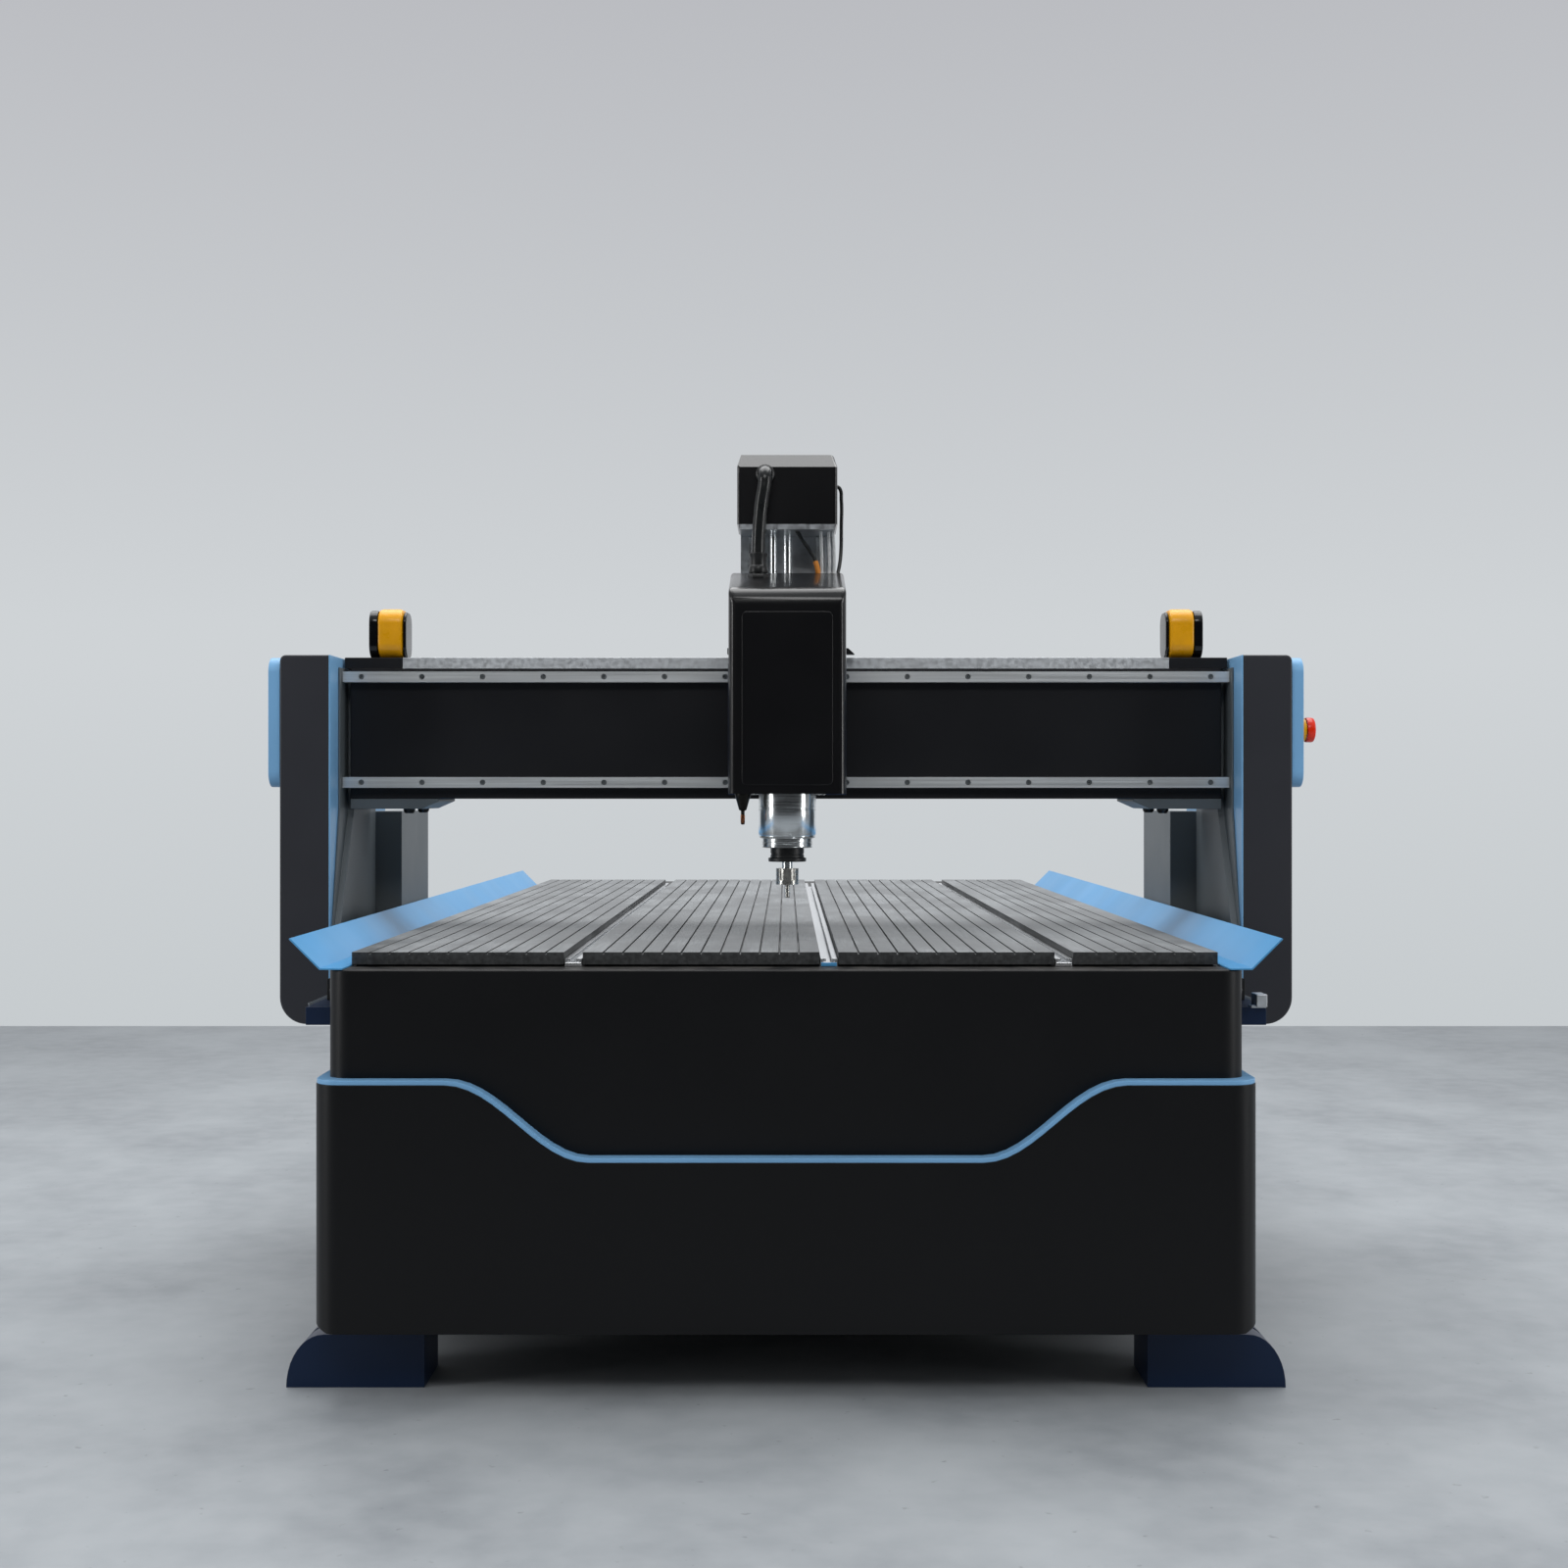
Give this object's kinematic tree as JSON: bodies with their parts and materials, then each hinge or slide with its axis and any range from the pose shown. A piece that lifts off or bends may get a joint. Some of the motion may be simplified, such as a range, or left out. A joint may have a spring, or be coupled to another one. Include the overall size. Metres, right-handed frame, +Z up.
{
  "type": "cnc router",
  "caption": "Flat-bed gantry CNC router with a grooved clamping table, travelling beam and vertical spindle head.",
  "frame": {"origin": "on the floor under the middle of the bed", "axes": "+X to the operator's right, +Y from the operator's end to the back, +Z up"},
  "size_m": [2.042, 3.43, 1.636],
  "materials": {
    "black_sheet": "satin powder coat",
    "frame_paint": "satin paint",
    "navy_paint": "satin paint",
    "blue_paint": "satin powder coat",
    "grey_sheet": "satin",
    "rail_steel": "ground",
    "gear_steel": "machined",
    "black_rubber": "matte",
    "black_plastic": "matte",
    "underlay_board": "matte",
    "table_board": "worn matte",
    "track_aluminium": "extruded",
    "plate_aluminium": "machined",
    "gantry_paint": "satin powder coat",
    "head_paint": "satin powder coat",
    "motor_black": "satin",
    "yellow_plastic": "gloss",
    "red_plastic": "gloss",
    "spindle_steel": "polished",
    "tool_steel": "blackened",
    "nozzle_metal": "dark"
  },
  "bodies": {
    "bed": {"bed_side_beams": "frame_paint", "bed_cross_members": "frame_paint", "bed_legs": "frame_paint", "bed_feet": "navy_paint", "front_upper_cover": "black_sheet", "front_lower_cover": "black_sheet", "cover_trim": "blue_paint", "side_panels": "black_sheet", "rear_cover": "black_sheet", "cable_gland": "black_plastic", "control_cabinet": "grey_sheet", "rail_ledges": "navy_paint", "y_rails": "rail_steel", "y_racks": "gear_steel", "y_end_stops": "black_rubber", "chip_guards": "blue_paint", "table_underlay": "underlay_board", "table_boards": "table_board", "t_tracks": "track_aluminium"},
    "gantry": {"gantry_beam": "gantry_paint", "seat_plates": "gantry_paint", "leg_plates": "gantry_paint", "x_rails": "rail_steel", "x_rail_screws": "gear_steel", "x_rack": "gear_steel", "beam_top_strip": "track_aluminium", "column_covers": "gantry_paint", "column_inner_panels": "blue_paint", "side_pads": "blue_paint", "motor_covers": "gantry_paint", "y_foot_plates": "gantry_paint", "y_bearing_blocks": "gear_steel", "y_motors": "motor_black", "sensor_brackets": "gantry_paint", "sensor_housings": "yellow_plastic", "sensor_lenses": "black_plastic", "estop_collar": "yellow_plastic"},
    "y_pinion_left": {"y_pinion_left": "gear_steel"},
    "y_pinion_right": {"y_pinion_right": "gear_steel"},
    "estop_button": {"estop_button": "red_plastic"},
    "x_carriage": {"x_carriage_plate": "navy_paint", "x_bearing_blocks": "gear_steel", "x_carriage_arm": "gantry_paint", "x_motor": "motor_black", "z_column_plate": "plate_aluminium", "z_rails": "rail_steel", "z_motor_box": "head_paint", "z_motor": "motor_black", "head_lines": "black_plastic"},
    "x_pinion": {"x_pinion": "gear_steel"},
    "z_ball_screw": {"z_ball_screw": "rail_steel"},
    "z_head": {"z_slide_plate": "plate_aluminium", "z_bearing_blocks": "gear_steel", "z_ball_nut": "gear_steel", "head_cover": "head_paint", "spindle_body": "spindle_steel", "spindle_clamp": "gantry_paint", "air_nozzle": "nozzle_metal"},
    "spindle_rotor": {"spindle_shaft": "spindle_steel", "collet_and_cutter": "tool_steel"}
  },
  "joints": [
    {"name": "gantry_travel", "type": "slide", "parent": "bed", "child": "gantry", "axis": [0, 1, 0], "range_m": [-0.265, 2.235]},
    {"name": "y_pinion_right_turn", "type": "hinge", "parent": "gantry", "child": "y_pinion_right", "pos_m": [0.8483, -0.6, 0.615], "axis": [0, 0, 1], "range_deg": [-612, 5126]},
    {"name": "y_pinion_left_turn", "type": "hinge", "parent": "gantry", "child": "y_pinion_left", "pos_m": [-0.8483, -0.6, 0.615], "axis": [0, 0, 1], "range_deg": [-5126, 612]},
    {"name": "carriage_travel", "type": "slide", "parent": "gantry", "child": "x_carriage", "axis": [1, 0, 0], "range_m": [-0.65, 0.65]},
    {"name": "x_pinion_turn", "type": "hinge", "parent": "x_carriage", "child": "x_pinion", "pos_m": [0.0025, -0.7557, 1.247], "axis": [0, 0, 1], "range_deg": [-1492, 1492]},
    {"name": "head_travel", "type": "slide", "parent": "x_carriage", "child": "z_head", "axis": [0, 0, 1], "range_m": [-0.065, 0.075], "deforming": ["head_lines"]},
    {"name": "z_screw_turn", "type": "hinge", "parent": "x_carriage", "child": "z_ball_screw", "pos_m": [0.0025, -1.018, 1.2], "axis": [0, 0, 1], "range_deg": [-2706, 2346]},
    {"name": "spindle_spin", "type": "hinge", "parent": "z_head", "child": "spindle_rotor", "pos_m": [0.0025, -1.17, 0.87], "axis": [0, 0, 1], "continuous": true},
    {"name": "estop_push", "type": "slide", "parent": "gantry", "child": "estop_button", "axis": [-1, 0, 0], "range_m": [0, 0.005], "stiffness_N_per_m": 2000}
  ],
  "couplings": [
    {"joint": "y_pinion_right_turn", "follows": "gantry_travel", "rad_per_m": 40},
    {"joint": "y_pinion_left_turn", "follows": "gantry_travel", "rad_per_m": -40},
    {"joint": "x_pinion_turn", "follows": "carriage_travel", "rad_per_m": -40},
    {"joint": "z_screw_turn", "follows": "head_travel", "rad_per_m": -628.32}
  ]
}
